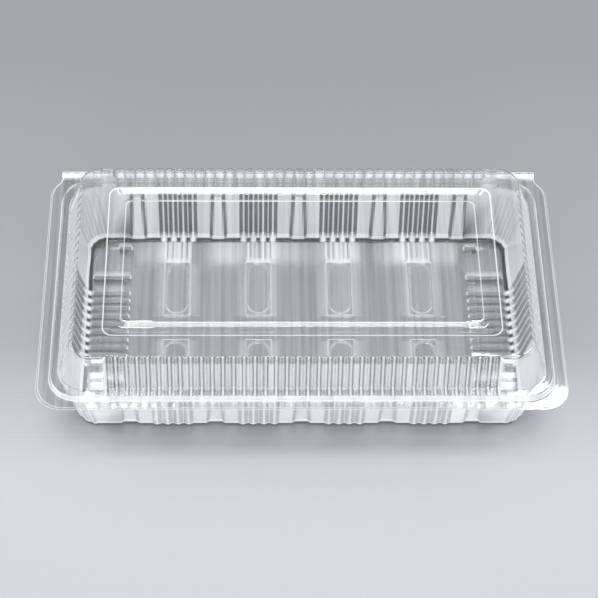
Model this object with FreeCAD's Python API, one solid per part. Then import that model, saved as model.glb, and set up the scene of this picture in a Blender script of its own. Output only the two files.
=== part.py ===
import FreeCAD, Part
import math
import os

os.makedirs("parts", exist_ok=True)

# Sheet
SHEET = 0.4
CORNER_STEPS = 6

# Rim: two flanges face to face
RIM_Z = 30.0
RIM_HALF_X = 120.0
RIM_FRONT_Y = 70.4
RIM_CORNER = 12.0
LID_RIM_INSET = 0.8
RIM_GAP = 0.1

# Hinge bead: a rolled tube along the rear, half on each flange
BEAD_END = 5.0
BEAD_OFFSET = 0.8
BEAD_RADIUS = 2.0
BEAD_GAP = 0.3
BEAD_STEPS = 8

# Snap closure: the tray's ridge plugs into the lid's collar
FLANGE_SIDE = 5.85
FLANGE_FRONT = 4.45
COLLAR_CORNER = 13.4
COLLAR_RISE = 2.5
COLLAR_DRAFT = 0.4
PLUG_GAP = 0.4
SNAP_RADIUS = 10.6
SNAP_WIDTH = 1.0
SNAP_RISE = 0.5
SNAP_SPREAD = 22.0
SNAP_TOP_SHARE = 0.4
SNAP_TOP_SPREAD = 20.7
SNAP_STEPS = 4

# Lid walls: crest lines of the flutes at foot and shoulder
LEDGE_SIDE = 4.15
LEDGE_FRONT = 4.95
LID_FOOT_CORNER = 13.0
LID_LEAN_X = 5.4
LID_LEAN_Y = 2.5
LID_SHOULDER_CORNER = 10.5
LID_RISE = 20.5
DOME_RISE = 2.0
DOME_INSET = 0.4
FLUTES_LONG = 37
FLUTES_SHORT = 19
FLUTE_END_LONG = 6.1
FLUTE_END_SHORT = 2.4
FLUTE_DEPTH = 1.5
FLUTE_CREST = 0.26

# Lid top: a sunk moat round a flat centre panel
ROOF_BORDER_X = 14.7
ROOF_BORDER_Y = 13.8
MOAT_CORNER = 6.0
MOAT_CORNER_LOSS = 0.3
MOAT_WIDTH = 7.6
MOAT_DEPTH = 1.4
MOAT_OUTER_SLOPE = 2.6
MOAT_INNER_SLOPE = 1.8
PANEL_DROP = 0.4

# Tray walls
TRAY_OUTSET_Y = 0.8
TRAY_TOP_CORNER = 12.8
TRAY_LEAN_X = 8.0
TRAY_LEAN_Y = 5.0
TRAY_FLOOR_CORNER = 9.0
FOOT_RISE = 2.4
FOOT_INSET = 1.8
RIB_PITCH = 4.8
RIB_ROOT = 0.25
RIB_DEPTH = 1.1
RIB_TOP_DROP = 4.6
RIB_FADE = 1.6
RIBS_PER_PANEL = 4
PANELS = 4
PANEL_SHARE = 0.3853
PILASTER_FLAT = 1.1
PILASTER_FLANK = 0.8
PILASTER_GROWTH = 0.3
PILASTER_DEPTH = 1.5
SIDE_RIBS = 10

# Tray floor
PAD_HALF_X = 6.7
PAD_NEAR_Y = 7.0
PAD_END = 15.4
PAD_RISE = 1.2
PAD_SLOPE = 0.6
PAD_CORNER = 1.0
TROUGH_MARGIN = 1.4
TROUGH_SINK = 0.8
TROUGH_CORNER = 3.2
BAR_LENGTH = 18.4
BAR_SHORT_LENGTH = 7.0
BAR_END = 2.2
BAR_HALF_Y = 1.3
BAR_RISE = 0.8
BAR_SLOPE = 0.4
BAR_CORNER = 0.7
LONG_BAR_GAP = 10.0
SHORT_BAR_END = 6.4

# Plan sizes that follow from the rim
COLLAR_HALF_X = RIM_HALF_X - FLANGE_SIDE
COLLAR_HALF_Y = RIM_FRONT_Y - FLANGE_FRONT
LID_FOOT_X = COLLAR_HALF_X - LEDGE_SIDE
LID_FOOT_Y = COLLAR_HALF_Y - LEDGE_FRONT
LID_SHOULDER_X = LID_FOOT_X - LID_LEAN_X
LID_SHOULDER_Y = LID_FOOT_Y - LID_LEAN_Y
MOAT_HALF_X = LID_SHOULDER_X - ROOF_BORDER_X
MOAT_HALF_Y = LID_SHOULDER_Y - ROOF_BORDER_Y
TRAY_TOP_X = LID_FOOT_X
TRAY_TOP_Y = LID_FOOT_Y + TRAY_OUTSET_Y
TRAY_FLOOR_X = TRAY_TOP_X - TRAY_LEAN_X
TRAY_FLOOR_Y = TRAY_TOP_Y - TRAY_LEAN_Y
PANEL_PITCH = PANEL_SHARE * TRAY_FLOOR_X
PAD_FAR_Y = TRAY_FLOOR_Y - PAD_END
BAR_OUTER_X = TRAY_FLOOR_X - BAR_END
BAR_INNER_X = BAR_OUTER_X - BAR_LENGTH
LONG_BAR_Y = 0.5 * (SIDE_RIBS - 1) * RIB_PITCH + LONG_BAR_GAP
SHORT_BAR_Y = TRAY_FLOOR_Y - SHORT_BAR_END
BEAD_HALF_X = RIM_HALF_X - BEAD_END
BEAD_Y = RIM_FRONT_Y + BEAD_OFFSET
RIM_REAR_Y = BEAD_Y - BEAD_RADIUS + SHEET

# Levels that follow from the rim
LID_Z = RIM_Z + RIM_GAP + SHEET
LEDGE_Z = LID_Z + COLLAR_RISE
ROOF_Z = LID_Z + LID_RISE - 0.5 * SHEET
RIDGE_Z = LEDGE_Z - SHEET - PLUG_GAP
RIB_TOP_Z = RIDGE_Z - RIB_TOP_DROP


def vec(x, y, z):
    return FreeCAD.Vector(x, y, z)


def arc_points(cx, cy, radius, start, stop, z, steps=CORNER_STEPS):
    """Points of an arc, both ends included, angles in degrees."""
    points = []
    for i in range(steps + 1):
        a = math.radians(start + (stop - start) * i / steps)
        points.append(vec(cx + radius * math.cos(a), cy + radius * math.sin(a), z))
    return points


def outline(half_x, half_y, radius, z, long_wall=(), short_wall=()):
    """Rounded rectangle, anticlockwise; walls are (along, outward) offsets."""
    cx = half_x - radius
    cy = half_y - radius
    points = [vec(u, -half_y - d, z) for u, d in long_wall]
    points += arc_points(cx, -cy, radius, -90, 0, z)
    points += [vec(half_x + d, u, z) for u, d in short_wall]
    points += arc_points(cx, cy, radius, 0, 90, z)
    points += [vec(-u, half_y + d, z) for u, d in long_wall]
    points += arc_points(-cx, cy, radius, 90, 180, z)
    points += [vec(-half_x - d, -u, z) for u, d in short_wall]
    points += arc_points(-cx, -cy, radius, 180, 270, z)
    return points


def patch(x0, x1, y0, y1, corner, z, steps=1):
    """Rectangle between two corners, anticlockwise, rounded in that many steps."""
    centre = vec(0.5 * (x0 + x1), 0.5 * (y0 + y1), 0)
    half_x = 0.5 * (x1 - x0)
    half_y = 0.5 * (y1 - y0)
    points = []
    for sx, sy, start in ((1, -1, -90), (1, 1, 0), (-1, 1, 90), (-1, -1, 180)):
        cx = sx * (half_x - corner)
        cy = sy * (half_y - corner)
        points += arc_points(cx, cy, corner, start, start + 90, z, steps)
    return [centre + p for p in points]


def wire(points):
    return Part.makePolygon(points + points[:1])


def plate(points, holes=()):
    """Flat face inside a closed outline, less its holes."""
    wires = [wire(points)] + [wire(h) for h in holes]
    return [Part.makeFace(wires, "Part::FaceMakerBullseye")]


def skin(lower, upper):
    """Faces between two outlines with the same number of points."""
    faces = []
    for i in range(len(lower)):
        j = (i + 1) % len(lower)
        a, b, c, d = lower[i], lower[j], upper[j], upper[i]
        normal = (b - a).cross(d - a)
        if abs(normal.dot(c - a)) < 1e-7:
            faces.append(Part.Face(wire([a, b, c, d])))
        else:
            faces.append(Part.Face(wire([a, b, c])))
            faces.append(Part.Face(wire([a, c, d])))
    return faces


def solid_of(faces):
    sheet = Part.Compound(faces)
    sheet.sewShape()
    body = Part.Solid(sheet.Shells[0])
    if body.Volume < 0:
        body.reverse()
    return body


def wave(centres, shape):
    """Wall offsets of one repeated shape, without doubled points."""
    points = []
    for c in centres:
        for u, d in shape:
            if not points or abs(c + u - points[-1][0]) > 1e-6:
                points.append((c + u, d))
    return points


def row(count, pitch, centre=0.0):
    return [centre + (i - 0.5 * (count - 1)) * pitch for i in range(count)]


def fluted_wall(half_length, count):
    """Half-round flutes as three facets each, valley to valley."""
    pitch = 2 * half_length / count
    crest = FLUTE_CREST * pitch
    flute = ((-0.5 * pitch, -FLUTE_DEPTH), (-crest, 0), (crest, 0), (0.5 * pitch, -FLUTE_DEPTH))
    return wave(row(count, pitch), flute)


def rim_outline(inset, z):
    """Flange outline: round front corners, rear corners cut off by the bead."""
    half_x = RIM_HALF_X - inset
    front_y = RIM_FRONT_Y - inset
    cx = half_x - RIM_CORNER
    cy = front_y - RIM_CORNER
    cut = math.degrees(math.acos((BEAD_HALF_X - cx) / RIM_CORNER))
    points = arc_points(cx, -cy, RIM_CORNER, -90, 0, z)
    points += arc_points(cx, cy, RIM_CORNER, 0, cut, z)
    points += [vec(BEAD_HALF_X, RIM_REAR_Y, z), vec(-BEAD_HALF_X, RIM_REAR_Y, z)]
    points += arc_points(-cx, cy, RIM_CORNER, 180 - cut, 180, z)
    points += arc_points(-cx, -cy, RIM_CORNER, 180, 270, z)
    return points


def boss(low, high):
    """Side and top faces of a raised or sunk patch."""
    return skin(low, high) + plate(high)


def snap_mark(angle, radius, width, spread, z):
    """Curved stroke on the collar ledge at one corner."""
    sx = 1 if math.cos(math.radians(angle)) > 0 else -1
    sy = 1 if math.sin(math.radians(angle)) > 0 else -1
    cx = sx * (COLLAR_HALF_X - COLLAR_CORNER)
    cy = sy * (COLLAR_HALF_Y - COLLAR_CORNER)
    outer = radius + 0.5 * width
    inner = radius - 0.5 * width
    points = arc_points(cx, cy, outer, angle - spread, angle + spread, z, SNAP_STEPS)
    points += arc_points(cx, cy, inner, angle + spread, angle - spread, z, SNAP_STEPS)
    return points


def lid_side(offset):
    """One face of the lid's sheet; offset shifts it inward and down."""
    rim_z = LID_Z - offset
    ledge_z = LEDGE_Z - offset
    roof_z = ROOF_Z - offset
    shoulder_z = roof_z - DOME_RISE

    collar_x = COLLAR_HALF_X - offset
    collar_y = COLLAR_HALF_Y - offset
    collar_r = COLLAR_CORNER - offset
    foot = outline(collar_x, collar_y, collar_r, rim_z)
    crown_x = collar_x - COLLAR_DRAFT
    crown_y = collar_y - COLLAR_DRAFT
    crown = outline(crown_x, crown_y, collar_r - COLLAR_DRAFT, ledge_z)
    faces = plate(rim_outline(LID_RIM_INSET, rim_z), [foot])
    faces += skin(foot, crown)

    straight_x = LID_SHOULDER_X - LID_SHOULDER_CORNER
    straight_y = LID_SHOULDER_Y - LID_SHOULDER_CORNER
    fluted = [fluted_wall(straight_x - FLUTE_END_LONG, FLUTES_LONG)]
    fluted.append(fluted_wall(straight_y - FLUTE_END_SHORT, FLUTES_SHORT))
    flat = [[(u, -FLUTE_DEPTH) for u, d in wall] for wall in fluted]

    x, y, r = LID_FOOT_X - offset, LID_FOOT_Y - offset, LID_FOOT_CORNER - offset
    wall_foot = outline(x, y, r, ledge_z, *fluted)
    x, y, r = LID_SHOULDER_X - offset, LID_SHOULDER_Y - offset, LID_SHOULDER_CORNER - offset
    shoulder = outline(x, y, r, shoulder_z, *fluted)
    x, y, r = x - DOME_INSET, y - DOME_INSET, r - DOME_INSET
    top = outline(x - FLUTE_DEPTH, y - FLUTE_DEPTH, r - FLUTE_DEPTH, roof_z)
    flat_top = outline(x, y, r, roof_z, *flat)
    corner = CORNER_STEPS + 1
    long_n = len(flat[0])
    short_n = len(flat[1])
    starts = (long_n, long_n + corner + short_n)
    starts += (2 * long_n + 2 * corner + short_n, 2 * long_n + 3 * corner + 2 * short_n)
    for k, start in enumerate(starts):
        flat_top[start:start + corner] = top[k * corner:(k + 1) * corner]

    marks = []
    for angle in (-135, -45, 45, 135):
        low = snap_mark(angle, SNAP_RADIUS, SNAP_WIDTH, SNAP_SPREAD, ledge_z)
        top_width = SNAP_TOP_SHARE * SNAP_WIDTH
        high = snap_mark(angle, SNAP_RADIUS, top_width, SNAP_TOP_SPREAD, ledge_z + SNAP_RISE)
        marks.append(low)
        faces += boss(low, high)
    faces += plate(crown, [wall_foot] + marks)
    faces += skin(wall_foot, shoulder)
    faces += skin(shoulder, flat_top)

    moat = []
    far = MOAT_WIDTH - MOAT_INNER_SLOPE
    levels = ((0, 0), (MOAT_OUTER_SLOPE, MOAT_DEPTH), (far, MOAT_DEPTH), (MOAT_WIDTH, PANEL_DROP))
    for step, drop in levels:
        size = (MOAT_HALF_X - step, MOAT_HALF_Y - step, MOAT_CORNER - MOAT_CORNER_LOSS * step)
        moat.append(outline(*size, roof_z - drop))
    faces += plate(flat_top, [moat[0]])
    faces += skin(moat[0], moat[1])
    faces += plate(moat[1], [moat[2]])
    faces += skin(moat[2], moat[3])
    faces += plate(moat[3])
    return faces


def bead_half(side, z):
    """Half of the hinge tube: side is +1 for the lid's, -1 for the tray's."""
    outer = []
    inner = []
    for i in range(BEAD_STEPS + 1):
        a = math.pi * i / BEAD_STEPS
        y = math.cos(a)
        h = side * math.sin(a)
        outer.append(vec(-BEAD_HALF_X, BEAD_Y + BEAD_RADIUS * y, z + BEAD_RADIUS * h))
        thin = BEAD_RADIUS - SHEET
        inner.append(vec(-BEAD_HALF_X, BEAD_Y + thin * y, z + thin * h))
    return Part.Face(wire(outer + inner[::-1])).extrude(vec(2 * BEAD_HALF_X, 0, 0))


def rib_shape():
    """Sharp rib standing out of the wall, root to root."""
    half = 0.5 * RIB_PITCH - RIB_ROOT
    return ((-half, 0), (0, RIB_DEPTH), (half, 0))


def pilaster_shape(growth):
    """Trapezoid post standing into the tray, wider towards its foot."""
    flat = PILASTER_FLAT + growth * PILASTER_GROWTH
    foot = flat + PILASTER_FLANK + growth * PILASTER_GROWTH
    return ((-foot, 0), (-flat, -PILASTER_DEPTH), (flat, -PILASTER_DEPTH), (foot, 0))


def tray_walls(growth, ribbed):
    """Offsets of the long and short walls; ribbed is 0 where the ribs fade out."""
    depth = [(u, d * ribbed) for u, d in rib_shape()]
    long_wall = []
    for c in row(PANELS, PANEL_PITCH):
        long_wall += wave(row(RIBS_PER_PANEL, RIB_PITCH, c), depth)
    for c in row(PANELS + 1, PANEL_PITCH):
        long_wall += wave([c], [(u, d * ribbed) for u, d in pilaster_shape(growth)])
    return sorted(long_wall), wave(row(SIDE_RIBS, RIB_PITCH), depth)


def tray_wall_ring(share, offset, z, growth, ribbed):
    """Wall outline between the floor, share 0, and the ridge, share 1."""
    half_x = TRAY_FLOOR_X + share * (TRAY_TOP_X - TRAY_FLOOR_X) + offset
    half_y = TRAY_FLOOR_Y + share * (TRAY_TOP_Y - TRAY_FLOOR_Y) + offset
    corner = TRAY_FLOOR_CORNER + share * (TRAY_TOP_CORNER - TRAY_FLOOR_CORNER) + offset
    return outline(half_x, half_y, corner, z - offset, *tray_walls(growth, ribbed))


def floor_bosses(z):
    """Pads with a sunk trough, and the bars of both end zones."""
    holes = []
    faces = []
    for c in row(PANELS, PANEL_PITCH):
        for y0, y1 in ((PAD_NEAR_Y, PAD_FAR_Y), (-PAD_FAR_Y, -PAD_NEAR_Y)):
            rings = []
            sunk = TROUGH_MARGIN + PAD_SLOPE
            for step, rise, corner in (
                (0, 0, PAD_CORNER),
                (PAD_SLOPE, PAD_RISE, PAD_CORNER),
                (TROUGH_MARGIN, PAD_RISE, TROUGH_CORNER),
                (sunk, PAD_RISE - TROUGH_SINK, TROUGH_CORNER - PAD_SLOPE),
            ):
                half = PAD_HALF_X - step
                rings.append(patch(c - half, c + half, y0 + step, y1 - step, corner, z + rise, 2))
            holes.append(rings[0])
            faces += skin(rings[0], rings[1])
            faces += plate(rings[1], [rings[2]])
            faces += boss(rings[2], rings[3])
    bars = [(y, BAR_OUTER_X) for y in row(SIDE_RIBS, RIB_PITCH)]
    for y in (LONG_BAR_Y, -LONG_BAR_Y):
        bars.append((y, BAR_OUTER_X))
    for y in (SHORT_BAR_Y, -SHORT_BAR_Y):
        bars.append((y, BAR_INNER_X + BAR_SHORT_LENGTH))
    for y, far_x in bars:
        for x0, x1 in ((BAR_INNER_X, far_x), (-far_x, -BAR_INNER_X)):
            low = patch(x0, x1, y - BAR_HALF_Y, y + BAR_HALF_Y, BAR_CORNER, z)
            half = BAR_HALF_Y - BAR_SLOPE
            x0, x1 = x0 + BAR_SLOPE, x1 - BAR_SLOPE
            high = patch(x0, x1, y - half, y + half, BAR_CORNER, z + BAR_RISE)
            holes.append(low)
            faces += boss(low, high)
    return holes, faces


def tray_side(offset):
    """One face of the tray's sheet; offset shifts it outward and down."""
    rim_z = RIM_Z - offset
    ridge_z = RIDGE_Z - offset
    foot_gap = SHEET + PLUG_GAP + offset
    x, y, r = COLLAR_HALF_X - foot_gap, COLLAR_HALF_Y - foot_gap, COLLAR_CORNER - foot_gap
    ridge_foot = outline(x, y, r, rim_z)
    x, y, r = x - COLLAR_DRAFT, y - COLLAR_DRAFT, r - COLLAR_DRAFT
    ridge_top = outline(x, y, r, ridge_z)
    faces = plate(rim_outline(0, rim_z), [ridge_foot])
    faces += skin(ridge_foot, ridge_top)

    fade_share = (RIB_TOP_Z + RIB_FADE) / RIDGE_Z
    wall_top = tray_wall_ring(1, offset, RIDGE_Z, 0, 0)
    rib_end = tray_wall_ring(fade_share, offset, RIB_TOP_Z + RIB_FADE, 0, 0)
    rib_top = tray_wall_ring(RIB_TOP_Z / RIDGE_Z, offset, RIB_TOP_Z, 0, 1)
    wall_foot = tray_wall_ring(FOOT_RISE / RIDGE_Z, offset, SHEET + FOOT_RISE, 1, 1)
    floor_share = -FOOT_INSET / (TRAY_TOP_X - TRAY_FLOOR_X)
    floor_edge = tray_wall_ring(floor_share, offset, SHEET, 1, 0)

    plain = outline(TRAY_TOP_X + offset, TRAY_TOP_Y + offset, TRAY_TOP_CORNER + offset, ridge_z)
    faces += plate(ridge_top, [plain])
    faces += stitched_band(plain, wall_top, rib_end)
    faces += skin(rib_end, rib_top)
    faces += skin(rib_top, wall_foot)
    faces += skin(wall_foot, floor_edge)
    holes, raised = floor_bosses(SHEET - offset)
    faces += plate(floor_edge, holes) + raised
    return faces


def stitched_band(plain, wall_top, wall_low):
    """Smooth wall under the ridge: one flat face per wall, facets at corners."""
    corner = CORNER_STEPS + 1
    low = wall_low
    count = len(low)
    faces = []
    at = [i for i in range(count) if is_corner(wall_top[i], plain)]
    for k in range(len(at)):
        i = at[k]
        j = at[(k + 1) % len(at)]
        between = [low[(i + n) % count] for n in range((j - i) % count + 1)]
        faces.append(Part.Face(wire([wall_top[j]] + [wall_top[i]] + between)))
    assert len(at) == 4 * corner
    return faces


def is_corner(point, plain):
    return any(point.distanceToPoint(p) < 1e-6 for p in plain)


tray_faces = tray_side(0) + tray_side(SHEET)
tray_faces += skin(rim_outline(0, RIM_Z - SHEET), rim_outline(0, RIM_Z))
tray = solid_of(tray_faces).fuse(bead_half(-1, RIM_Z)).removeSplitter()
tray.exportStep("parts/tray.step")

lid_faces = lid_side(0) + lid_side(SHEET)
lid_rim = [rim_outline(LID_RIM_INSET, z) for z in (LID_Z - SHEET, LID_Z)]
lid_faces += skin(*lid_rim)
lid = solid_of(lid_faces).fuse(bead_half(1, RIM_Z + BEAD_GAP)).removeSplitter()
lid.exportStep("parts/lid.step")

for name, shape in (("tray", tray), ("lid", lid)):
    box = shape.BoundBox
    print(name, shape.isValid(), len(shape.Solids), round(shape.Volume, 1), box)
    print(name, "triangles", len(shape.tessellate(0.05)[1]))
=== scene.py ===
import math
from collections import namedtuple

import bmesh
import bpy
from mathutils import Matrix, Vector


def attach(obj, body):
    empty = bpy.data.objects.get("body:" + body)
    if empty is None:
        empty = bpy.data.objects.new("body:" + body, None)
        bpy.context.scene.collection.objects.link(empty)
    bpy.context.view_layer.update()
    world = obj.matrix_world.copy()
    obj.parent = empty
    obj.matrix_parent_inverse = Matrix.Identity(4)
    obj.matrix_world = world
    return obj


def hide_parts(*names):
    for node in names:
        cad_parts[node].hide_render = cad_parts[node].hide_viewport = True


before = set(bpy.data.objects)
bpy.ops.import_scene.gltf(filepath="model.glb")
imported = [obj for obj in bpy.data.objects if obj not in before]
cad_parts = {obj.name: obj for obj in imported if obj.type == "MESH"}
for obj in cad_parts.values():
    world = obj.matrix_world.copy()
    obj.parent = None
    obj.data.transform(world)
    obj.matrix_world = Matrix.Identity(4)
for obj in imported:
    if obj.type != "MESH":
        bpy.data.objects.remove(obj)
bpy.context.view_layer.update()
bpy.context.scene.view_settings.view_transform = "Standard"

# Tray
# The deep half of the pack: thin clear sheet formed over a ribbed mould. Its
# floor has eight raised pads, each with a trough, and bars at both ends. Its walls
# have ribs and posts, and its rim a hollow ridge and half of the hinge bead.
MM = 0.001
SHEET = 0.3
FLANGE_Z = 30
RIDGE_Z = 32.2
FOOT_Z = 0.4
WALL_FOOT = (102, 56.8, 9)
WALL_LEAN = (8, 5, 3.8)

# Walls are counted from the front one, anticlockwise as seen from above.
FRONT, REAR = 0, 2

# A wall's point is its place along the wall, its share of a rib's height and a
# mark: painted highlight above 0, painted shade below 0, and 2 in a block that has no ribs.
PLAIN_BLOCK = 2
# Painted marks: DIMMING is how much painted shade dims a painted highlight, corner flanks take
# CORNER_FLANKS of the painted shade and the rear wall's painted lines are REAR_CONTRAST times
# stronger.
CREST = 1.02
CREST_TOP_Z = 33
DIMMING = 0.8
CORNER_FLANKS = 0.6
REAR_CONTRAST = 3
LEAST_STEP = 0.05

# rows has the points and the straight length of the long and of the short
# walls, corner the points round a corner, and depth says how far out a point
# stands. bite has the two tilts between which a flank takes painted shade, the
# veils lay an even painted light (above 0) or painted shade (below 0) over each
# wall and shown says how strongly its painted marks show.
Walls = namedtuple("Walls", "rows corner depth bite veils shown")


def steepness(places, outs, bite):
    """How steep each point of a wall's profile stands, 0 to 1."""
    low, high = bite
    steep = []
    for i in range(len(places)):
        a, b = max(0, i - 1), min(len(places) - 1, i + 1)
        tilt = abs(outs[b] - outs[a]) / max(LEAST_STEP, places[b] - places[a])
        steep.append(min(1, max(0, (tilt - low) / (high - low))))
    return steep


def marks_at(s, z, mark, steep, painted_veil, draw, blob, line):
    """How much painted highlight and painted shade one point of a wall gets."""
    if mark == PLAIN_BLOCK:
        return max(blob, line), 0
    painted_shade = max(steep * draw, -mark * draw, -line, -painted_veil * draw)
    painted_light = max(line * (1 - DIMMING * painted_shade), mark * draw, painted_veil * draw)
    # Crests low on the wall and the collar's corner bosses take a painted glint.
    if s > CREST and z < CREST_TOP_Z:
        painted_light = max(painted_light, blob)
    return painted_light, painted_shade


def ring(walls, half_x, half_y, radius, z, shift, fade, draw, blob, line):
    """Points once round a rounded rectangle whose walls carry ribs, in mm.

    fade closes the ribs, draw is how strongly their painted marks show (below 0 on the
    front only), blob how strong a painted glint their crests get and line the painted
    highlight (or painted shade, below 0) along the whole bend. Each point gets two
    marks, painted highlight and painted shade."""
    cx, cy = half_x - radius, half_y - radius
    all_round = line if draw >= 0 else max(0, line)
    points = []
    for turn in range(4):
        wall, straight = walls.rows[turn % 2]
        reach, room = ((half_y, cx), (half_x, cy))[turn % 2]
        scale = min(1, room / straight)
        here = walls.shown[turn] * (abs(draw) if turn == FRONT else max(0, draw))
        edge = line if turn == FRONT else all_round
        if turn == REAR:
            edge = max(-1, min(1, REAR_CONTRAST * edge))
        painted_veil = walls.veils[turn] / walls.shown[turn]
        outs = [walls.depth(s, fade, z) for _, s, _ in wall]
        steeps = steepness([u for u, _, _ in wall], outs, walls.bite)
        for (u, s, mark), out, steep in zip(wall, outs, steeps):
            out, along = reach + out, u * scale
            x, y = ((along, -out), (out, along), (-along, out), (-out, -along))[turn]
            marks = marks_at(s, z, mark, steep, painted_veil, here, blob, edge)
            points.append(((x, y + shift, z), *marks))
        ox = cx if turn < 2 else -cx
        oy = cy if turn in (1, 2) else -cy
        outs = [walls.depth(s, fade, z) for _, s, _ in walls.corner]
        places = [t * 0.5 * math.pi * radius for t, _, _ in walls.corner]
        steeps = steepness(places, outs, walls.bite)
        for (t, s, mark), out, steep in zip(walls.corner, outs, steeps):
            a = math.radians(90 * (turn - 1 + t))
            x, y = ox + (radius + out) * math.cos(a), oy + (radius + out) * math.sin(a)
            flank = CORNER_FLANKS * steep
            marks = marks_at(s, z, mark, flank, 0, max(0, draw), blob, all_round)
            points.append(((x, y + shift, z), *marks))
    return points


def level(half_x, half_y, corner, z, fade=0, draw=0, blob=0, bend=0, line=0, shift=0):
    """One level of a section: what ring takes, with the size of its bend."""
    return (half_x, half_y, corner, z, shift, fade, draw, blob, bend, line)


def round_bends(levels, steps):
    """Rounds a section at each level that has a bend and marks the bend with its painted line:
    painted highlight above 0, painted shade below 0.
    """
    out = []
    for i, level_here in enumerate(levels):
        size, line = level_here[-2:]
        here = Vector(level_here[:-2])
        if size == 0:
            out.append((*here, line))
            continue
        before, after = Vector(levels[i - 1][:-2]), Vector(levels[i + 1][:-2])
        a = here + (before - here) * (size / (before - here).length)
        b = here + (after - here) * (size / (after - here).length)
        for k in range(steps + 1):
            t = k / steps
            painted_light = line * (1 - abs(2 * t - 1) ** 3)
            out.append((*(a * (1 - t) ** 2 + here * 2 * t * (1 - t) + b * t * t), painted_light))
    return out


def new_sheet():
    """Empty mesh whose points carry the two marks: painted highlight and painted shade."""
    bm = bmesh.new()
    bm.verts.layers.float.new("painted_light")
    bm.verts.layers.float.new("painted_shade")
    return bm


def add_point(bm, place, painted_light=0.0, painted_shade=0.0):
    v = bm.verts.new(place)
    v[bm.verts.layers.float["painted_light"]] = painted_light
    v[bm.verts.layers.float["painted_shade"]] = painted_shade
    return v


def add_rings(bm, rings):
    loops = [[add_point(bm, *p) for p in points] for points in rings]
    for low, high in zip(loops, loops[1:]):
        for i in range(len(low)):
            j = (i + 1) % len(low)
            bm.faces.new((low[i], low[j], high[j], high[i]))
    return loops


# The bead is a tube rolled from both flanges, and each half carries the same
# marks from end to end: bands of painted highlight along it and a dotted line of painted shade
# between them.
BEAD_X = 115
BEAD_Y = 71.2
BEAD_PARTS = 96
BEAD_STEPS = 14
BEAD_HIGHLIGHT_ROWS = (2, 3, 4, 5, 6, 9, 10, 11)
BEAD_SHADE_DOT_ROWS = (7, 8)
BEAD_HIGHLIGHT, BEAD_FAINT_HIGHLIGHT = 1, 0.25
BEAD_SHADE_DOT, BEAD_SHADE_DOT_DIMS = 0.9, 0.3
FLANGE_TO_BEAD = ((BEAD_X, 69.6), (114.9, 69.55))


def run_into_bead(rings):
    """Runs the flange's two outer rings straight to the ends of the bead."""
    for i, (end_x, rear_y) in enumerate(FLANGE_TO_BEAD):
        rings[i] = [
            ((x, rear_y if y > 0 and abs(x) <= end_x else y, z), painted_light, painted_shade)
            for (x, y, z), painted_light, painted_shade in rings[i]
        ]


def add_half_bead(bm, z, radius, side):
    """Half of the rolled bead; side is 1 above the flange, -1 below it."""
    rows = []
    for k in range(BEAD_STEPS + 1):
        a = math.pi * (1 - k / BEAD_STEPS)
        y, height = BEAD_Y + radius * math.cos(a), z + side * radius * math.sin(a)
        row = []
        for i in range(BEAD_PARTS + 1):
            x = BEAD_X * (2 * i / BEAD_PARTS - 1)
            painted_shade = BEAD_SHADE_DOT * (i % 2) if k in BEAD_SHADE_DOT_ROWS else 0
            painted_light = BEAD_HIGHLIGHT if k in BEAD_HIGHLIGHT_ROWS else BEAD_FAINT_HIGHLIGHT
            row.append(add_point(bm, (x, y, height), painted_light - BEAD_SHADE_DOT_DIMS * painted_shade, painted_shade))
        rows.append(row)
    for low, high in zip(rows, rows[1:]):
        for i in range(BEAD_PARTS):
            bm.faces.new((low[i], low[i + 1], high[i + 1], high[i]))


def thicken(bm, thickness):
    """Gives the surface a second skin behind it and closes the edges."""
    bm.normal_update()
    bm.verts.index_update()
    verts = list(bm.verts)
    faces = list(bm.faces)
    rims = [e for e in bm.edges if len(e.link_faces) == 1]
    painted_light, painted_shade = (bm.verts.layers.float[n] for n in ("painted_light", "painted_shade"))
    back = [add_point(bm, v.co - v.normal * thickness, v[painted_light], v[painted_shade]) for v in verts]
    for f in faces:
        bm.faces.new([back[v.index] for v in reversed(f.verts)])
    for e in rims:
        loop = e.link_loops[0]
        a, b = loop.vert, loop.link_loop_next.vert
        bm.faces.new((b, a, back[a.index], back[b.index]))


SHARP_BEND = math.radians(50)


def piece(name, bm, material, body):
    """Turns the millimetre mesh into an object that rides on its CAD body."""
    bmesh.ops.scale(bm, vec=(MM, MM, MM), verts=bm.verts)
    mesh = bpy.data.meshes.new(name)
    bm.to_mesh(mesh)
    bm.free()
    mesh.shade_smooth()
    mesh.set_sharp_from_angle(angle=SHARP_BEND)
    mesh.materials.append(material)
    obj = bpy.data.objects.new(name, mesh)
    bpy.context.scene.collection.objects.link(obj)
    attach(obj, body)
    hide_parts(body)


def feed(tree, socket, value):
    """Links a socket to an output, or sets it to a value."""
    if hasattr(value, "is_output"):
        tree.links.new(value, socket)
    else:
        socket.default_value = value


def add_node(tree, kind, **sockets):
    node = tree.nodes.new("ShaderNode" + kind)
    for key, value in sockets.items():
        feed(tree, node.inputs[key.replace("_", " ")], value)
    return node


def add_math(tree, operation, *values):
    node = add_node(tree, "Math")
    node.operation = operation
    for socket, value in zip(node.inputs, values):
        feed(tree, socket, value)
    return node.outputs["Value"]


def add_blend(tree, first, second, share):
    node = add_node(tree, "Mix")
    node.data_type = "RGBA"
    for key, value in (("A", first), ("B", second), ("Factor", share)):
        feed(tree, node.inputs[key], value)
    return node.outputs["Result"]


def mix_shaders(tree, first, second, share):
    node = add_node(tree, "MixShader", Fac=share)
    tree.links.new(first, node.inputs[1])
    tree.links.new(second, node.inputs[2])
    return node.outputs["Shader"]


def add_mark(tree, name):
    """The white or the dark mark that the mesh carries."""
    mark = add_node(tree, "Attribute")
    mark.attribute_name = name
    return mark.outputs["Fac"]


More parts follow.
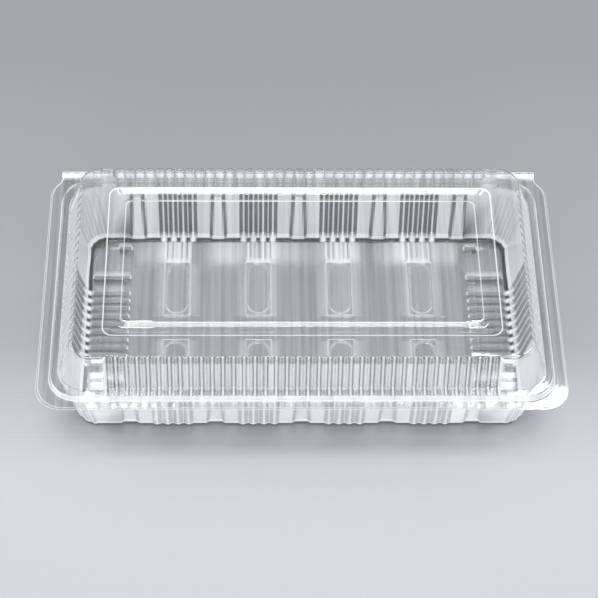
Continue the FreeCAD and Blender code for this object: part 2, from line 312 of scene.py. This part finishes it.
def drawn_film_group():
    """What both films share: streaks drawn from front to rear, painted shade on the
    flanks, haze that comes and goes and faint waves."""
    tree = bpy.data.node_groups.new("drawn_film", "ShaderNodeTree")
    for name in ("Clear", "Drawn", "Flank"):
        tree.interface.new_socket(name, in_out="INPUT", socket_type="NodeSocketColor")
    for name in ("Least Haze", "Most Haze"):
        tree.interface.new_socket(name, in_out="INPUT", socket_type="NodeSocketFloat")
    tree.interface.new_socket("Colour", in_out="OUTPUT", socket_type="NodeSocketColor")
    tree.interface.new_socket("Roughness", in_out="OUTPUT", socket_type="NodeSocketFloat")
    tree.interface.new_socket("Normal", in_out="OUTPUT", socket_type="NodeSocketVector")
    given = tree.nodes.new("NodeGroupInput").outputs
    result = tree.nodes.new("NodeGroupOutput").inputs
    coords = add_node(tree, "TexCoord").outputs["Object"]
    along = add_node(tree, "Mapping", Vector=coords, Scale=(420.0, 6.0, 30.0))
    streaks = add_node(tree, "TexNoise", Vector=along.outputs["Vector"], Scale=1.0, Detail=3.0)
    drag = add_node(tree, "MapRange", Value=streaks.outputs["Fac"], From_Min=0.3, From_Max=0.6)
    film = add_blend(tree, given["Drawn"], given["Clear"], drag.outputs["Result"])
    feed(tree, result["Colour"], add_blend(tree, film, given["Flank"], add_mark(tree, "painted_shade")))
    patches = add_node(tree, "TexNoise", Vector=coords, Scale=60.0, Detail=2.0)
    haze = add_node(tree, "MapRange", Value=patches.outputs["Fac"])
    feed(tree, haze.inputs["To Min"], given["Least Haze"])
    feed(tree, haze.inputs["To Max"], given["Most Haze"])
    feed(tree, result["Roughness"], haze.outputs["Result"])
    wave = add_node(tree, "TexNoise", Vector=coords, Scale=45.0, Detail=1.0).outputs["Fac"]
    bump = add_node(tree, "Bump", Height=wave, Strength=0.04, Distance=0.0004)
    feed(tree, result["Normal"], bump.outputs["Normal"])
    return tree


DRAWN_FILM = drawn_film_group()
# DRAWN_SHADE tints the drawn streaks; FLANK_SHADE is painted shade on the flanks; the three
# shadow colours are how much lamp light passes the sheet; MILK_GLOW is a painted glow that stands
# in for light caught in bends and walls.
DRAWN_SHADE = 0.82
FLANK_SHADE = 0.3
FACING_SHADOW = (0.987, 0.99, 0.993, 1)
GRAZING_SHADOW = (0.6, 0.62, 0.65, 1)
FLANK_SHADOW = (0.24, 0.24, 0.24, 1)
MILK = (0.9, 0.91, 0.92, 1)
MILK_GLOW = (0.96, 0.98, 1.0, 1)


def clear_sheet(name, haze, tint, milky_glow):
    """Clear formed film: glossy, milky with a painted glow in its bends and upright walls, and
    painted shade on the flanks.
    """
    mat = bpy.data.materials.new(name)
    mat.use_nodes = True
    tree = mat.node_tree
    bsdf = tree.nodes["Principled BSDF"]
    bsdf.inputs["Transmission Weight"].default_value = 1.0
    bsdf.inputs["IOR"].default_value = 1.5
    bsdf.inputs["Metallic"].default_value = 0.0
    film = add_node(tree, "Group")
    film.node_tree = DRAWN_FILM
    film.inputs["Clear"].default_value = (*tint, 1)
    film.inputs["Drawn"].default_value = (*(c * DRAWN_SHADE for c in tint), 1)
    film.inputs["Flank"].default_value = (*(c * FLANK_SHADE for c in tint), 1)
    film.inputs["Least Haze"].default_value = 0.5 * haze
    film.inputs["Most Haze"].default_value = 1.5 * haze
    feed(tree, bsdf.inputs["Base Color"], film.outputs["Colour"])
    feed(tree, bsdf.inputs["Roughness"], film.outputs["Roughness"])
    feed(tree, bsdf.inputs["Normal"], film.outputs["Normal"])

    # Bends and walls that stand up are milky and glow with painted light, but not where painted
    # shade lies.
    painted_shade = add_mark(tree, "painted_shade")
    level_up = add_node(tree, "SeparateXYZ", Vector=add_node(tree, "TexCoord").outputs["Normal"])
    upright = add_math(tree, "ABSOLUTE", level_up.outputs["Z"])
    steep = add_node(tree, "MapRange", Value=upright, From_Min=0.75, From_Max=0.3, To_Max=milky_glow)
    undrawn = add_math(tree, "SUBTRACT", 1.0, painted_shade)
    painted_veil = add_math(tree, "MULTIPLY", steep.outputs["Result"], undrawn)
    cloud = add_math(tree, "MAXIMUM", painted_veil, add_mark(tree, "painted_light"))
    scatter = add_node(tree, "BsdfDiffuse", Color=MILK)
    glow = add_node(tree, "Emission", Color=MILK_GLOW, Strength=0.34)
    milk_and_glow = add_node(tree, "AddShader")
    tree.links.new(scatter.outputs["BSDF"], milk_and_glow.inputs[0])
    tree.links.new(glow.outputs["Emission"], milk_and_glow.inputs[1])
    sheet = mix_shaders(tree, bsdf.outputs["BSDF"], milk_and_glow.outputs["Shader"], cloud)

    # Light passes straight through to what lies below, dimmed where the sheet is
    # met at a low angle and more where the painted shade mark lies, so the flanks cast darker
    # shadows.
    path = add_node(tree, "LightPath").outputs
    straight = add_math(tree, "MAXIMUM", path["Is Shadow Ray"], path["Is Diffuse Ray"])
    facing = add_node(tree, "LayerWeight").outputs["Facing"]
    grazing = add_node(tree, "MapRange", Value=facing, From_Min=0.4, From_Max=0.95)
    shadow = add_blend(tree, FACING_SHADOW, GRAZING_SHADOW, grazing.outputs["Result"])
    deep = add_math(tree, "MULTIPLY", painted_shade, 3.0)
    deep.node.use_clamp = True
    shadow = add_blend(tree, shadow, FLANK_SHADOW, deep)
    through = add_node(tree, "BsdfTransparent", Color=shadow)
    surface = mix_shaders(tree, sheet, through.outputs["BSDF"], straight)
    feed(tree, tree.nodes["Material Output"].inputs["Surface"], surface)
    return mat


# Ribs and posts of the tray's walls
RIB_PITCH = 4.8
VALLEY = (0, 0.6)
HALF_RIB = ((-2.15, 0.03), (-1.85, 0.2), (-0.6, 1.03), (-0.25, 1.1))
RIB_TOP = (0, 1.1, 0.6)
PANELS = (-58.95, -19.65, 19.65, 58.95)
PANEL_RIBS = 4
END_RIBS = 10
POSTS = (-78.6, -39.3, 0.0, 39.3, 78.6)
POST_HALF = 4.5
POST_STEPS = 9
POST_STEP = 0.36
POST_DEPTH = 1.5
POST_SPLAY = 1.3
LONG_STRAIGHT, SHORT_STRAIGHT = 90.0, 45.0
CORNER_PARTS = 24
# The corner's flutes take a painted highlight where they stand least out.
CORNER_WAVES = 4
CORNER_WAVE = 0.3
CORNER_HIGHLIGHT = 0.4


def tray_depth(s, fade, z):
    """Ribs stand out of the wall; posts stand in and widen towards the foot."""
    if s >= 0:
        return s * (1 - fade)
    return -min(POST_DEPTH, max(0, -s - POST_SPLAY * z / RIDGE_Z)) * (1 - fade)


def rib_row(count, centre):
    rib = [(-0.5 * RIB_PITCH, *VALLEY)] + [(u, s, 0) for u, s in HALF_RIB] + [RIB_TOP]
    rib += [(-u, s, 0) for u, s in reversed(HALF_RIB)]
    points = []
    for i in range(count):
        c = centre + (i - 0.5 * (count - 1)) * RIB_PITCH
        points += [(c + u, s, mark) for u, s, mark in rib]
    return points + [(centre + 0.5 * count * RIB_PITCH, *VALLEY)]


def tray_walls():
    long_wall = []
    for c in PANELS:
        long_wall += rib_row(PANEL_RIBS, c)
    for c in POSTS:
        for k in range(POST_STEPS):
            u, s = POST_HALF - POST_STEP * k, -POST_STEP * k
            long_wall += [(c + u, s, 0), (c - u, s, 0)]
    corner = []
    for i in range(CORNER_PARTS + 1):
        wave = math.cos(2 * math.pi * CORNER_WAVES * i / CORNER_PARTS)
        corner.append((i / CORNER_PARTS, CORNER_WAVE * (1 - wave), CORNER_HIGHLIGHT * max(0, wave)))
    return Walls(
        rows=((sorted(long_wall), LONG_STRAIGHT), (rib_row(END_RIBS, 0.0), SHORT_STRAIGHT)),
        corner=corner,
        depth=tray_depth,
        bite=(0.2, 0.55),
        # Painted light evenly over the side and rear walls and painted shade over the front one;
        # the front's painted marks show faintest.
        veils=(-0.1, 0.15, 0.05, 0.15),
        shown=(0.4, 0.7, 1, 0.7),
    )


def tray_section():
    """From the flange's edge over the ridge and down the wall to the floor."""

    def wall(z):
        share = (z - FOOT_Z) / (RIDGE_Z - FOOT_Z)
        return (*(foot + lean * share for foot, lean in zip(WALL_FOOT, WALL_LEAN)), z)

    # The lines and blobs below are painted highlight and painted shade: bright lines on the rim,
    # the ridge and the wall's foot, painted shade along the ridge's top and where the foot meets
    # the floor, and painted glints on the ribs' feet.
    return round_bends([
        level(120, 70, 12, FLANGE_Z, fade=1, line=0.35, shift=-0.4),
        level(119.6, 69.8, 12, FLANGE_Z, fade=1, shift=-0.2),
        level(114.7, 66.1, 12.5, FLANGE_Z, fade=1),
        level(113.35, 65.15, 12.6, FLANGE_Z, fade=1, bend=0.5, line=0.1),
        level(112.95, 64.75, 12.2, RIDGE_Z, fade=1, bend=0.6, line=-0.4),
        level(*wall(RIDGE_Z), fade=1, bend=0.9, line=0.4),
        level(*wall(29.2), fade=1),
        level(*wall(28.6), fade=0.7, draw=0.3),
        level(*wall(27.8), fade=0.2, draw=0.8),
        level(*wall(27), draw=1),
        level(*wall(4.2), draw=1),
        level(*wall(3.4), draw=1, line=0.95),
        level(*WALL_FOOT, 2.2, fade=0.1, draw=0.8, line=1),
        level(101.8, 56.6, 8.8, 1.7, fade=0.3, draw=0.6, blob=0.5, line=0.9),
        level(101.5, 56.3, 8.5, 1.2, fade=0.6, blob=0.9, line=-1),
        level(101.0, 55.8, 8.1, 0.65, fade=0.8, blob=0.95, line=-1),
        level(100.6, 55.4, 7.8, FOOT_Z, fade=0.9, blob=0.95, line=-0.9),
        level(100.0, 54.8, 7.5, SHEET, fade=1, blob=0.6, line=-0.2),
    ], steps=4)


# Pads and bars of the tray's floor
PAD_Y = 24.2
PAD_REACH = 8
PAD = (6.7, 17.2, 1.0)
PAD_HEIGHT = 1.2
TROUGH = (5.3, 15.8, 5.2)
TROUGH_DEPTH = 0.8
PAD_SLOPE = 0.7
END_X = 80
BAR_START = 81.4
BAR_HALF = 1.3
BAR_CORNER = 0.8
BAR_HEIGHT = 0.8
BAR_SLOPE = 0.5
BARS = [((i - 4.5) * RIB_PITCH, 99.8) for i in range(END_RIBS)]
BARS += [(31.6, 99.8), (-31.6, 99.8), (50.4, 88.4), (-50.4, 88.4)]
FLOOR_X, FLOOR_Y = 99.9, 54.4
FLOOR_EDGE = (99.95, 54.5, 8.0)

# Marks of the floor: how far apart a slope is measured, the faint painted sheen
# on the rear pads and the painted streaks of light that run from the rear wall towards the pads.
PAD_PROBE, BAR_PROBE = 0.35, 0.2
MIDDLE_BARS = 30
PAD_SHEEN, PAD_SHEEN_HALF, PAD_SHEEN_Y = 0.04, 5, (8.5, 39.5)
STREAKS_FROM, STREAKS_GROW = 38, 6
STREAK_WAVE, STREAK_OFFSET, STREAK_RIPPLE = 2.62, 1.2, 5.1
RIBBED_HALF = 10

# Lines of the floor's mesh, closest where pads and bars bend
PAD_X_LINES = (6.7, 6.35, 6.0, 5.3, 4.95, 4.6, 4.1, 3.4, 2.6, 1.8, 0.9)
PAD_FRONT_LINES = (7, 7.35, 7.7, 8.4, 8.75, 9.1, 9.6, 10.2, 11.0, 12.2)
PAD_REAR_LINES = (36.2, 37.4, 38.2, 38.8, 39.3, 39.65, 40, 40.7, 41.05, 41.4)
BAR_START_LINES = (80.5, 81.0, 81.4, 81.65, 81.9, 82.3)
BAR_END_LINES = (87.6, 88.1, 88.4, 98.9, 99.3, 99.55, 99.8)
BAR_Y_LINES = (1.3, 1.05, 0.8, 0.3)
LEAST_GAP = 0.12


def distance(dx, dy, half_x, half_y, corner):
    """Distance from a rounded rectangle's edge, negative inside it."""
    qx, qy = abs(dx) - half_x + corner, abs(dy) - half_y + corner
    return math.hypot(max(qx, 0), max(qy, 0)) + min(max(qx, qy), 0) - corner


def slope(d, width):
    t = min(1, max(0, -d / width))
    return t * t * (3 - 2 * t)


def floor_rise(x, y):
    """Height of the tray floor above its flat level."""
    rise = 0
    panel = min(PANELS, key=lambda p: abs(p - x))
    dx, dy = x - panel, abs(y) - PAD_Y
    if abs(dx) < PAD_REACH:
        rise += PAD_HEIGHT * slope(distance(dx, dy, *PAD), PAD_SLOPE)
        rise -= TROUGH_DEPTH * slope(distance(dx, dy, *TROUGH), PAD_SLOPE)
    if abs(x) > END_X:
        for bar_y, bar_end in BARS:
            half = 0.5 * (bar_end - BAR_START)
            dx, dy = abs(x) - BAR_START - half, y - bar_y
            rise += BAR_HEIGHT * slope(distance(dx, dy, half, BAR_HALF, BAR_CORNER), BAR_SLOPE)
    return rise


def floor_marks(x, y):
    """Painted highlight on slopes that face the rear, painted shade on bars' slopes
    to the front, and painted streaks of light along the rear wall."""
    e = PAD_PROBE if abs(x) < END_X else BAR_PROBE
    gx = abs(floor_rise(x + e, y) - floor_rise(x - e, y)) / (2 * e)
    gy = (floor_rise(x, y + e) - floor_rise(x, y - e)) / (2 * e)
    if abs(x) > END_X:
        facing = 0.5 if abs(y) > MIDDLE_BARS else 0.2
        return min(0.9, 0.5 * gx + facing * max(0, -gy)), min(0.8, 0.35 * max(0, gy))
    off = min(abs(x - panel) for panel in PANELS)
    on_pad = off < PAD_SHEEN_HALF and PAD_SHEEN_Y[0] < y < PAD_SHEEN_Y[1]
    painted_sheen = PAD_SHEEN if on_pad else 0.0
    if y > STREAKS_FROM:
        below_ribs = min(1, max(0, RIBBED_HALF - off))
        streak = 0.6 + 0.4 * math.sin(STREAK_WAVE * (x + STREAK_OFFSET))
        streak += 0.2 * math.sin(STREAK_RIPPLE * x)
        strength = 0.25 + 0.35 * below_ribs
        painted_sheen = strength * streak * min(1, (y - STREAKS_FROM) / STREAKS_GROW)
    bright = 0.7 * max(0, -gy) + 0.15 * gx + 0.1 * max(0, gy)
    return max(painted_sheen, min(0.95, bright)), 0.0


def mesh_lines(marks, end, gap):
    """Sorted positions through the marks between two ends, not over gap apart."""
    marks = sorted({round(m, 3) for m in marks if abs(m) < end} | {-end, end})
    kept = [marks[0]]
    for m in marks[1:]:
        if m - kept[-1] < LEAST_GAP:
            continue
        parts = max(1, math.ceil((m - kept[-1]) / gap))
        kept += [kept[-1] + (m - kept[-1]) * k / parts for k in range(1, parts + 1)]
    return kept


def edges_of(bm, loop):
    return {bm.edges.get((a, b)) for a, b in zip(loop, loop[1:] + loop[:1])}


def fill(bm, edges):
    """Flat faces between closed outlines, all looking up."""
    filled = bmesh.ops.triangle_fill(bm, edges=list(edges), use_beauty=True, normal=(0, 0, 1))
    for f in filled["geom"]:
        if isinstance(f, bmesh.types.BMFace):
            f.normal_update()
            if f.normal.z < 0:
                f.normal_flip()


def add_floor(bm, edge_loop):
    """Floor with its pads and bars, joined to the wall's foot."""
    xs, ys = [], []
    for side in (-1, 1):
        for panel in PANELS:
            xs += [panel + side * d for d in PAD_X_LINES]
        for bar_y, _ in BARS:
            ys += [bar_y + side * d for d in BAR_Y_LINES]
        xs += [side * x for x in BAR_START_LINES + BAR_END_LINES]
        ys += [side * y for y in PAD_FRONT_LINES + PAD_REAR_LINES]
    xs, ys = mesh_lines(xs, FLOOR_X, gap=6), mesh_lines(ys, FLOOR_Y, gap=4)
    grid = {}
    for i, x in enumerate(xs):
        for j, y in enumerate(ys):
            if distance(x, y, *FLOOR_EDGE) <= 0:
                place = (x, y, SHEET + floor_rise(x, y))
                grid[i, j] = add_point(bm, place, *floor_marks(x, y))
    faces = []
    for i in range(len(xs) - 1):
        for j in range(len(ys) - 1):
            quad = [grid.get(k) for k in ((i, j), (i + 1, j), (i + 1, j + 1), (i, j + 1))]
            if None not in quad:
                faces.append(bm.faces.new(quad))
    used = {v for f in faces for v in f.verts}
    for v in grid.values():
        if v not in used:
            bm.verts.remove(v)
    outline = {e for f in faces for e in f.edges if len(e.link_faces) == 1}
    fill(bm, outline | edges_of(bm, edge_loop))


bm = new_sheet()
walls = tray_walls()
rings = [ring(walls, *row) for row in tray_section()]
run_into_bead(rings)
loops = add_rings(bm, rings)
add_floor(bm, loops[-1])
add_half_bead(bm, FLANGE_Z, radius=1.6, side=-1)
thicken(bm, SHEET)
tray_film = clear_sheet("tray_film", haze=0.03, tint=(0.985, 0.992, 0.996), milky_glow=0.55)
piece("tray_shell", bm, tray_film, "tray")

# Lid
# The shallow half of the same sheet: half-round flutes with domed heads all
# round, a moat pressed into its top, and a collar that snaps over the tray's
# ridge. It turns on the other half of the bead.
LID_FLANGE_Z = 30.5
LEDGE_Z = 33.0
DOME_Z = 48.8
MOAT_LONG, MOAT_SHORT, MOAT_STEP = 60, 24, 12
MOAT_Z = 49.4
PANEL_Z = 50.4
ROOF_Z = 50.8
LONG_FLUTES, LONG_PITCH, LONG_FLUTED = 37, 4.757, 94.1
END_FLUTES, END_PITCH, END_FLUTED = 19, 4.8, 48.0
FLUTE_DEPTH = 1.5
FLUTE_ROUND = 0.97
# Each flute point's mark: painted highlight in the valley and near the crest, painted shade on
# the flanks.
HALF_FLUTE = ((-0.88, 0.55), (-0.7, -0.9), (-0.5, 0), (-0.28, 0.35))
FLUTE = [(-1, 1), *HALF_FLUTE, (0, 0)] + [(-t, mark) for t, mark in reversed(HALF_FLUTE)]
DOME_FOOT = (104.6, 58.5, 10.5)
DOME_INSET = 0.4
DOME_STEPS = 7
# The domed heads carry lines of painted shade, and their lower levels a painted glint.
DOME_SHADE_LINES = (-0.9, -0.9, -0.9, -0.9, -0.9, -0.7, -0.2)
DOME_GLINT_LEVELS, DOME_GLINT = 3, 0.9
FLUTES_FROM_Z = 34
BLOCK_GAP, BLOCK_SHARE = 1.2, 0.93
LID_CORNER_PARTS = 16
BOSS_HALF = 2.5
BOSS_DEPTH = 0.5
BOSS_FROM_Z, BOSS_TO_Z = 31, 32.8


def lid_depth(s, fade, z):
    """Flutes rise from the valley line; their heads close as fade goes to 1. A
    boss stands out of each corner of the collar."""
    if s > 1 and BOSS_FROM_Z < z < BOSS_TO_Z:
        return BOSS_DEPTH * (s - 1)
    s = min(1, s)
    if z < FLUTES_FROM_Z:
        return FLUTE_DEPTH * (s - 1) * (1 - fade)
    return FLUTE_DEPTH * (max(0, s - fade) - 1)


def flute_row(count, pitch, straight, block_mark):
    """Flutes side by side, with a block that has none at both ends."""
    low = math.sqrt(1 - FLUTE_ROUND ** 2)
    points = []
    for i in range(count):
        c = (i - 0.5 * (count - 1)) * pitch
        for t, mark in FLUTE:
            s = (math.sqrt(1 - (FLUTE_ROUND * t) ** 2) - low) / (1 - low)
            points.append((c + 0.5 * pitch * t, s, mark))
    end = 0.5 * count * pitch
    far = end + BLOCK_SHARE * (straight - end)
    block = [(end + BLOCK_GAP, 1, block_mark), (far, 1, block_mark)]
    before = [(-u, s, mark) for u, s, mark in reversed(block)]
    # The last valley takes a full painted highlight.
    return before + points + [(end, 0, 1)] + block


def dome_level(k):
    """One of the levels that close the flutes' heads in a quarter round, with its painted shade
    line and, low down, a painted glint.
    """
    a = math.radians(90 * k / DOME_STEPS)
    drop = 1 - math.cos(a)
    size = (foot - DOME_INSET * drop for foot in DOME_FOOT)
    z = DOME_Z + (ROOF_Z - DOME_Z) * math.sin(a)
    blob = DOME_GLINT if k <= DOME_GLINT_LEVELS else 0
    return (*size, z, 0, drop, drop ** 3 - 1, blob, DOME_SHADE_LINES[k - 1])


def lid_section():
    """From the flange's edge over the collar and up the flutes to the roof."""
    # The lines and blobs below are painted highlight and painted shade: bright lines on the rim
    # and collar, painted shade along the ledge and at the flutes' heads, painted glints on the
    # collar's corner bosses and painted bands on the plain blocks at the ends of the long walls.
    rim_and_wall = round_bends([
        level(119.2, 69.6, 12, LID_FLANGE_Z, fade=1, line=0.5),
        level(118.8, 69.3, 12, LID_FLANGE_Z, fade=1),
        level(115.3, 66.8, 13.2, LID_FLANGE_Z, fade=1),
        level(114.15, 65.95, 13.4, LID_FLANGE_Z, fade=1, bend=0.6, line=0.55),
        level(113.95, 65.75, 13.2, 31.75, fade=1, blob=0.8),
        level(113.75, 65.55, 13.0, LEDGE_Z, fade=0.9, bend=0.7, line=0.3),
        level(113.0, 64.8, 13.0, LEDGE_Z, fade=0.9, draw=-0.6, blob=0.3, line=-0.3),
        level(112.6, 64.3, 13.0, LEDGE_Z, fade=0.8, draw=-0.8, line=-0.7),
        level(110.9, 62.1, 13.0, LEDGE_Z, fade=0.3, draw=-0.8, line=-0.6),
        level(110, 61, 13, LEDGE_Z, fade=0.1, draw=-0.9, blob=0.5, bend=0.4, line=0.2),
        level(109.6, 60.8, 12.8, 34.2, draw=1, blob=0.9),
        level(108.8, 60.4, 12.4, 36.6, draw=1, blob=0.9),
        level(108.6, 60.3, 12.3, 37.2, draw=1, blob=0.3),
        level(107.9, 60.0, 12.0, 39.2, draw=1, blob=0.3),
        level(107.7, 59.9, 11.9, 39.8, draw=1, blob=0.9),
        level(106.8, 59.5, 11.4, 42.4, draw=1, blob=0.9),
        level(106.6, 59.4, 11.3, 43.0, draw=1, blob=0.1),
        level(104.9, 58.65, 10.65, 47.5, draw=1, blob=0.1),
        level(104.75, 58.57, 10.57, 48.1, draw=-1, blob=0.1, line=-0.8),
        level(*DOME_FOOT, DOME_Z, draw=-1, blob=0.9, line=-0.9),
    ], steps=3)
    return rim_and_wall + [dome_level(k) for k in range(1, DOME_STEPS + 1)]


def moat_section():
    """From the roof's edge through the moat to the panel inside it."""
    # The lines are painted highlight along the moat's bends.
    return round_bends([
        level(103.8, 57.7, 9.8, ROOF_Z, fade=1),
        level(92.6, 47.4, 6.6, ROOF_Z, fade=1),
        level(91.2, 46.0, 6.2, ROOF_Z, fade=1, bend=0.6, line=0.4),
        level(88.6, 43.4, 5.2, MOAT_Z, fade=1, bend=0.5, line=0.05),
        level(87.6, 42.4, 5.1, MOAT_Z, fade=1),
        level(86.2, 41.0, 5.0, MOAT_Z, fade=1),
        level(85.2, 40.0, 5.0, MOAT_Z, fade=1, bend=0.5, line=0.05),
        level(83.4, 38.2, 4.6, PANEL_Z, fade=1, bend=0.5, line=0.3),
        level(82.2, 37.0, 4.4, PANEL_Z, fade=1),
    ], steps=4)


corner = []
for k in range(LID_CORNER_PARTS + 1):
    boss = max(0, 1 - ((k - 0.5 * LID_CORNER_PARTS) / BOSS_HALF) ** 2)
    corner.append((k / LID_CORNER_PARTS, 1 + boss, 0))
moat_long = [(u, 1, 0) for u in range(-MOAT_LONG, MOAT_LONG + 1, MOAT_STEP)]
moat_short = [(u, 1, 0) for u in range(-MOAT_SHORT, MOAT_SHORT + 1, MOAT_STEP)]
fluted_walls = Walls(
    rows=(
        (flute_row(LONG_FLUTES, LONG_PITCH, LONG_FLUTED, PLAIN_BLOCK), LONG_FLUTED),
        (flute_row(END_FLUTES, END_PITCH, END_FLUTED, 0), END_FLUTED),
    ),
    corner=corner,
    depth=lid_depth,
    bite=(3, 9),
    # Painted light evenly over each fluted wall, most on the sides.
    veils=(0.08, 0.32, 0.06, 0.28),
    shown=(1, 1, 0.3, 1),
)
moat_walls = fluted_walls._replace(
    rows=((moat_long, MOAT_LONG), (moat_short, MOAT_SHORT)),
    veils=(0, 0, 0, 0),
    shown=(1, 1, 1, 1),
)
bm = new_sheet()
rings = [ring(fluted_walls, *row) for row in lid_section()]
run_into_bead(rings)
loops = add_rings(bm, rings)
moat = add_rings(bm, [ring(moat_walls, *row) for row in moat_section()])
fill(bm, edges_of(bm, loops[-1]) | edges_of(bm, moat[0]))
bm.faces.new(moat[-1])
add_half_bead(bm, z=30.3, radius=2.0, side=1)
thicken(bm, SHEET)
lid_film = clear_sheet("lid_film", haze=0.02, tint=(0.988, 0.992, 0.996), milky_glow=0.12)
piece("lid_shell", bm, lid_film, "lid")

# Board
# The matt grey surface under the pack: paler towards the camera, a painted falloff
# of the studio light, with a faint brushed grain from left to right. It is one flat sheet just
# below the tray.
BOARD_HALF = 3
BOARD_Z = -0.0004
BOARD_REAR, BOARD_FRONT = 0.2, -0.16

# Greys from the rear, at 0, to the front, at 1; the ramp's own two ends come first. The stop at
# 0.74 is a painted band of light that thins the pack's shadow in front of it.
BOARD_GREYS = (
    (0.0, (0.350, 0.364, 0.387, 1)),
    (1.0, (0.6, 0.61, 0.64, 1)),
    (0.3, (0.396, 0.410, 0.436, 1)),
    (0.55, (0.455, 0.469, 0.498, 1)),
    # Painted band of light in front of the pack, paler than the front edge.
    (0.74, (0.63, 0.642, 0.672, 1)),
)


def board_grey():
    mat = bpy.data.materials.new("board_grey")
    mat.use_nodes = True
    tree = mat.node_tree
    bsdf = tree.nodes["Principled BSDF"]
    bsdf.inputs["Roughness"].default_value = 0.6
    coords = add_node(tree, "TexCoord").outputs["Object"]
    place = add_node(tree, "SeparateXYZ", Vector=coords)
    brushed = add_node(tree, "Mapping", Vector=coords, Scale=(8, 700, 1))
    grain = add_node(tree, "TexNoise", Vector=brushed.outputs["Vector"], Scale=1.0, Detail=2.0)
    nudged = add_math(tree, "MULTIPLY_ADD", grain.outputs["Fac"], 0.02, place.outputs["Y"])
    nearness = add_node(tree, "MapRange", Value=nudged, From_Min=BOARD_REAR, From_Max=BOARD_FRONT)
    greys = add_node(tree, "ValToRGB", Fac=nearness.outputs["Result"])
    stops = greys.color_ramp.elements
    for i, (position, grey) in enumerate(BOARD_GREYS):
        stop = stops[i] if i < 2 else stops.new(position)
        stop.position, stop.color = position, grey
    feed(tree, bsdf.inputs["Base Color"], greys.outputs["Color"])
    return mat


sides = ((-1, -1), (1, -1), (1, 1), (-1, 1))
corners = [(x * BOARD_HALF, y * BOARD_HALF, BOARD_Z) for x, y in sides]
mesh = bpy.data.meshes.new("board")
mesh.from_pydata(corners, [], [(0, 1, 2, 3)])
mesh.materials.append(board_grey())
board = bpy.data.objects.new("board", mesh)
bpy.context.scene.collection.objects.link(board)

# Light
# Soft studio light: two boxes overhead, a strip at either side, a low fill in
# front and two small boxes high behind, whose glints lie on the front corners of
# the rim. The room is dim and darker low down, so that bends draw thin lines.


def softbox(name, where, aim, size, power):
    data = bpy.data.lights.new(name, "AREA")
    data.shape = "RECTANGLE"
    data.size, data.size_y = size
    data.energy = power
    lamp = bpy.data.objects.new(name, data)
    lamp.location = where
    lamp.rotation_euler = (Vector(aim) - Vector(where)).to_track_quat("-Z", "Y").to_euler()
    bpy.context.scene.collection.objects.link(lamp)


softbox("overhead", (0.0, -0.3, 1.15), (0, 0, 0), (0.6, 0.3), 3.2)
softbox("left_strip", (-1.0, 0.2, 0.6), (0, 0, 0), (0.3, 0.7), 1.5)
softbox("top", (0.0, 0.18, 1.3), (0, 0, 0), (0.5, 0.3), 4.2)
softbox("glint", (0.313, 0.881, 1.3), (0.103, -0.068, 0.03), (0.16, 0.05), 0.6)
softbox("glint_left", (-0.182, 0.883, 1.3), (-0.083, -0.067, 0.03), (0.09, 0.04), 0.25)
softbox("front_fill", (0.0, -1.3, 0.5), (0, 0, 0.03), (1.2, 0.4), 5.4)
softbox("right_strip", (1.0, 0.1, 0.6), (0, 0, 0), (0.3, 0.7), 1.5)

world = bpy.data.worlds.new("room")
bpy.context.scene.world = world
world.use_nodes = True
room = world.node_tree
direction = add_node(room, "TexCoord").outputs["Generated"]
height = add_node(room, "SeparateXYZ", Vector=direction).outputs["Z"]
glow = add_node(room, "MapRange", Value=height, To_Min=0.3, To_Max=0.5)
background = room.nodes["Background"]
background.inputs["Color"].default_value = (0.95, 0.98, 1.0, 1)
feed(room, background.inputs["Strength"], glow.outputs["Result"])

# Camera
# Long lens from the front, looking down at about fifty degrees. Its place and
# turn were fitted to the rim and the lid as the photo shows them.
CAMERA_PLACE = (-0.023255, -0.63949, 0.79492)
PITCH, YAW, ROLL = math.radians(50.368), math.radians(2.025), math.radians(1.591)
SENSOR_MM = 36
PHOTO_PIXELS = 598
FOCAL_PIXELS = 2133.26

level_look = Vector((math.sin(YAW), math.cos(YAW), 0))
forward = level_look * math.cos(PITCH) + Vector((0, 0, -math.sin(PITCH)))
right = Vector((math.cos(YAW), -math.sin(YAW), 0))
up = right.cross(forward)
right, up = (
    right * math.cos(ROLL) + up * math.sin(ROLL),
    up * math.cos(ROLL) - right * math.sin(ROLL),
)
data = bpy.data.cameras.new("camera")
data.lens = SENSOR_MM * FOCAL_PIXELS / PHOTO_PIXELS
camera = bpy.data.objects.new("camera", data)
turn = Matrix((right, up, -forward)).transposed().to_4x4()
camera.matrix_world = Matrix.Translation(CAMERA_PLACE) @ turn
bpy.context.scene.collection.objects.link(camera)
bpy.context.scene.camera = camera
